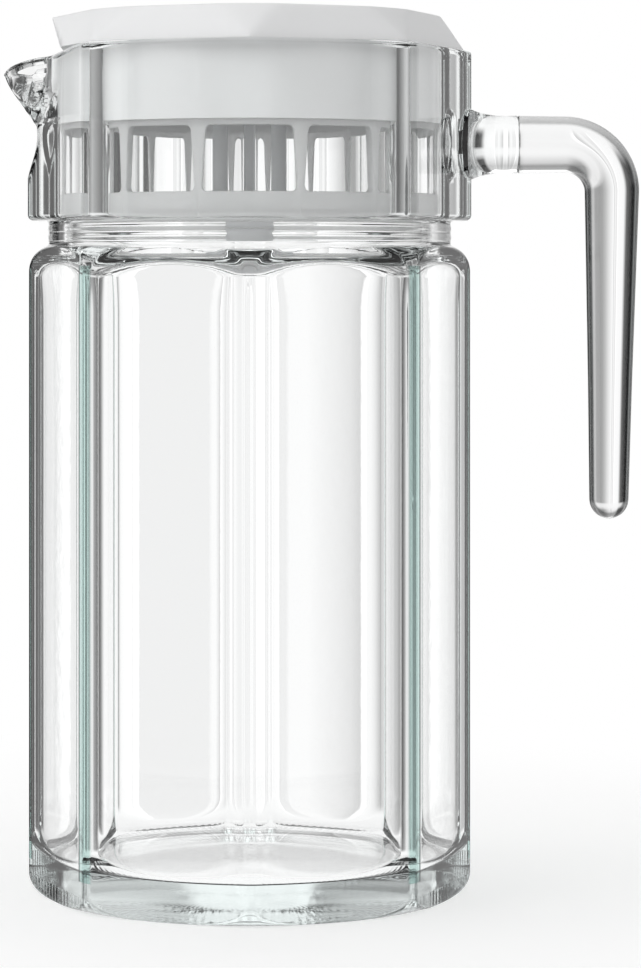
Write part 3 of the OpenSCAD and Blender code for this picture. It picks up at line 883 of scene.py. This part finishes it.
studio = {"even": 0.42, "side": 0.19, "brightest": 1.3, "behind": (-0.2, 0.3), "under": (-0.14, -0.4),
          # a white band just above the horizon, by height in degrees
          "band": ((0, 0.0), (4.5, 0.0), (8, 0.8), (14, 0.8), (22, 0.0)),
          # brightness by azimuth in degrees, 0 at the back and 90 at the handle's side
          "ring": ((-180, 0.7), (-122, 1.0), (-100, 1.0), (-88, 0.5), (-80, 0.12), (-66, 0.4), (-61, 0.95),
                   (-56, 0.15), (-53, 0.1), (-50, 1.1), (-43, 1.1), (-40, 0.25), (-36, 0.0), (-24, 0.02),
                   (-18, 0.1), (-13, 1.0), (-6, 1.05), (4, 1.0), (9, 0.8), (14, 0.55), (20, 0.35), (33, 0.38),
                   (42, 0.9), (46, 0.9), (50, 0.3), (54, 0.3), (61, 0.9), (68, 0.4), (76, 0.1), (95, 0.5),
                   (120, 0.9)),
          # the paper straight behind, over its middle few degrees
          "paper": ((-3.5, 0.88), (-3.05, 1.3), (-2.6, 1.3), (-2.3, 0.88), (-0.2, 0.88), (0.1, 1.0), (0.9, 1.0),
                    (2.35, 0.65), (2.7, 1.18), (3.5, 1.05)),
          # how much of that is left by height, on the back half
          "height": ((0, 1.0), (10, 1.0), (22, 0.85), (38, 0.55), (55, 0.65), (75, 0.95), (90, 1.0))}


def toneRamp(tree, value, tones):
    ramp = place(tree, "ShaderNodeValToRGB", -300, 100)
    points = ramp.color_ramp.elements
    while len(points) > 1:
        points.remove(points[-1])
    for i, (where, tone) in enumerate(tones):
        point = points[0] if i == 0 else points.new(where)
        point.position = where
        point.color = (tone, tone, tone, 1)
    link(tree, value, ramp.inputs[0])
    return ramp.outputs[0]


def ringTone(tree, split):
    angle = mathNode(tree, "ARCTAN2", split[0], split[1])
    top, half = studio["brightest"], studio["paper"][-1][0]
    share = mathNode(tree, "FRACT", mathNode(tree, "DIVIDE", angle, 2 * math.pi))
    ring = toneRamp(tree, share, sorted(((degrees / 360) % 1, tone / top) for degrees, tone in studio["ring"]))
    across = mathNode(tree, "ADD", mathNode(tree, "DIVIDE", angle, math.radians(2 * half)), 0.5)
    paper = toneRamp(tree, across, [(degrees / (2 * half) + 0.5, tone / top) for degrees, tone in studio["paper"]])
    behind = mathNode(tree, "LESS_THAN", mathNode(tree, "ABSOLUTE", angle), math.radians(half))
    step = mathNode(tree, "MULTIPLY", mathNode(tree, "SUBTRACT", paper, ring), behind)
    return mathNode(tree, "MULTIPLY", mathNode(tree, "ADD", ring, step), top)


def cardPattern(tree, split):
    rise = mathNode(tree, "DIVIDE", mathNode(tree, "ARCSINE", split[2]), math.pi / 2)
    tall = toneRamp(tree, rise, [(degrees / 90, tone) for degrees, tone in studio["height"]])
    behind = rangeNode(tree, split[1], studio["behind"], smooth=True)
    fall = mathNode(tree, "MULTIPLY", mathNode(tree, "SUBTRACT", 1.0, tall), behind)
    pattern = mathNode(tree, "MULTIPLY", ringTone(tree, split), mathNode(tree, "SUBTRACT", 1.0, fall))
    # white below the horizon and in the band above it
    under = rangeNode(tree, split[2], studio["under"], smooth=True)
    band = toneRamp(tree, rise, [(degrees / 90, tone) for degrees, tone in studio["band"]])
    white = mathNode(tree, "MAXIMUM", under, band)
    missing = mathNode(tree, "SUBTRACT", 1.0, pattern)
    return mathNode(tree, "ADD", pattern, mathNode(tree, "MULTIPLY", missing, white))


def buildWorld():
    world = bpy.data.worlds.new("studio")
    bpy.context.scene.world = world
    world.use_nodes = True
    tree = world.node_tree
    tree.nodes.clear()
    where = place(tree, "ShaderNodeTexCoord", -1200)
    split = partsOf(tree, where.outputs["Generated"])
    ray = place(tree, "ShaderNodeLightPath", -300, 500)
    even, cards, white = (place(tree, "ShaderNodeBackground", 200, 200 * row) for row in (-1, 0, 1))
    for node in (even, cards, white):
        node.inputs["Color"].default_value = (1, 1, 1, 1)
    side = mathNode(tree, "MULTIPLY", split[0], -studio["side"])
    link(tree, mathNode(tree, "ADD", side, studio["even"]), even.inputs["Strength"])
    link(tree, cardPattern(tree, split), cards.inputs["Strength"])
    lit = mixShaders(tree, shinyShare(tree, ray), even.outputs[0], cards.outputs[0])
    out = place(tree, "ShaderNodeOutputWorld", 900)
    link(tree, mixShaders(tree, ray.outputs["Is Camera Ray"], lit, white.outputs[0]), out.inputs["Surface"])


buildWorld()

# only the lamp above is also seen through the glass
lamps = {
    "keyLamp": {"at": (-1.1, -0.55, 0.6), "size": 1.3, "power": 8.2, "through": False},
    "fillLamp": {"at": (0.75, -0.95, 0.35), "size": 1.1, "power": 4.0, "through": False},
    "topLamp": {"at": (0.1, 0.15, 1.2), "size": 0.9, "power": 3.0, "through": True},
}
lampAim = (0, 0, 0.15)


def addLamps():
    for name, lamp in lamps.items():
        data = bpy.data.lights.new(name, "AREA")
        data.shape = "SQUARE"
        data.size = lamp["size"]
        data.energy = lamp["power"]
        light = bpy.data.objects.new(name, data)
        light.location = lamp["at"]
        aim = Vector(lampAim) - Vector(lamp["at"])
        light.rotation_euler = aim.to_track_quat("-Z", "Y").to_euler()
        light.visible_glossy = False
        light.visible_transmission = lamp["through"]
        bpy.context.scene.collection.objects.link(light)


addLamps()

floorLook = {"half": 6.0, "fade": (0.1, 0.3), "tone": (0.86, 0.86, 0.86, 1), "lift": 0.31}


def addFloor():
    half = floorLook["half"]
    corners = [(-half, -half, 0), (half, -half, 0), (half, half, 0), (-half, half, 0)]
    floor = newObject("floor", corners, [(0, 1, 2, 3)], False)
    material, tree = emptyMaterial("paleFloor")
    where = place(tree, "ShaderNodeTexCoord", -1200)
    far = place(tree, "ShaderNodeVectorMath", -1000, operation="LENGTH")
    link(tree, where.outputs["Object"], far.inputs[0])
    fade = rangeNode(tree, far.outputs["Value"], floorLook["fade"], smooth=True)
    body = place(tree, "ShaderNodeBsdfDiffuse")
    body.inputs["Color"].default_value = floorLook["tone"]
    lift = place(tree, "ShaderNodeEmission", 0, -200)
    lift.inputs["Strength"].default_value = floorLook["lift"]
    near = place(tree, "ShaderNodeAddShader", 200)
    link(tree, body.outputs[0], near.inputs[0])
    link(tree, lift.outputs[0], near.inputs[1])
    bright = place(tree, "ShaderNodeEmission", 200, -250)
    # through the glass the studio goes on below the horizon
    gone = place(tree, "ShaderNodeBsdfTransparent", 600, -200)
    ray = place(tree, "ShaderNodeLightPath", -300, 500)
    seen = mixShaders(tree, fade, near.outputs[0], bright.outputs[0])
    plain = mixShaders(tree, ray.outputs["Is Camera Ray"], body.outputs[0], seen)
    out = place(tree, "ShaderNodeOutputMaterial", 1000)
    link(tree, mixShaders(tree, shinyShare(tree, ray), plain, gone.outputs[0]), out.inputs["Surface"])
    floor.data.materials.append(material)


addFloor()
print("camera, studio, lamps and floor ready")

for name, look in (("plug_sleeve", "sleeveWhite"), ("pivot_pin", "pinGrey")):
    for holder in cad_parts[name].material_slots:
        holder.material = materials[look]
print("lid pieces dressed")

bpy.context.scene.view_settings.view_transform = "Standard"
